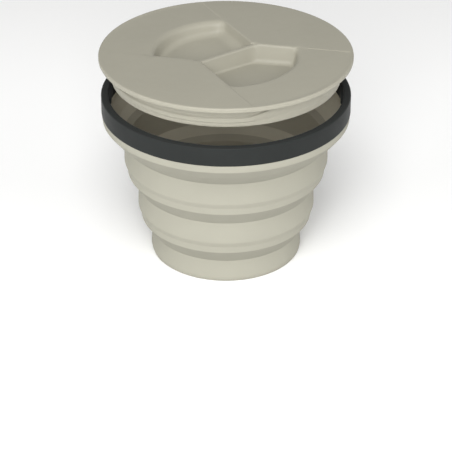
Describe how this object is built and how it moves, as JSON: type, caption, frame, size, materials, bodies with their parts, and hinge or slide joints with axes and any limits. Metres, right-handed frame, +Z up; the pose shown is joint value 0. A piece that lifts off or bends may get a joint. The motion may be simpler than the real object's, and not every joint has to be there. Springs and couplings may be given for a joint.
{
  "type": "collapsible travel cup",
  "caption": "Round collapsible silicone cup that folds down tier by tier, with a rigid rim ring and a flat quarter-turn lid with a finger grip.",
  "frame": {"origin": "centre of the foot, on the surface the cup stands on", "axes": "+Z up along the cup's axis; +X and +Y in the plane of the foot, with the lid's grip ridge about 37 degrees from +X at rest"},
  "size_m": [0.11, 0.11, 0.0958],
  "materials": {
    "lid_plastic": "warm sand grey polypropylene with a fine satin texture",
    "seal_rubber": "soft silicone, satin",
    "ring_plastic": "charcoal polypropylene, satin",
    "body_silicone": "warm sand grey silicone, matte and faintly dusty"
  },
  "bodies": {
    "base": {"base_cup": "body_silicone", "lower_fold_web": "body_silicone"},
    "lower_tier": {"lower_tier": "body_silicone", "middle_fold_web": "body_silicone"},
    "upper_tier": {"upper_tier": "body_silicone", "upper_fold_web": "body_silicone"},
    "rim": {"rim_flange": "body_silicone", "rim_ring": "ring_plastic"},
    "seal": {"lid_seal": "seal_rubber"},
    "lid": {"lid": "lid_plastic"}
  },
  "joints": [
    {"name": "fold_lower", "type": "slide", "parent": "base", "child": "lower_tier", "axis": [0, 0, -1], "range_m": [0, 0.0205], "deforming": ["lower_fold_web"]},
    {"name": "fold_middle", "type": "slide", "parent": "lower_tier", "child": "upper_tier", "axis": [0, 0, -1], "range_m": [0, 0.022], "deforming": ["middle_fold_web"]},
    {"name": "fold_upper", "type": "slide", "parent": "upper_tier", "child": "rim", "axis": [0, 0, -1], "range_m": [0, 0.0175], "deforming": ["upper_fold_web"]},
    {"name": "lid_lift", "type": "slide", "parent": "rim", "child": "seal", "axis": [0, 0, -1], "range_m": [0, 0.01615]},
    {"name": "lid_turn", "type": "hinge", "parent": "seal", "child": "lid", "pos_m": [0, 0, 0.09375], "axis": [0, 0, -1], "range_deg": [0, 90]}
  ]
}
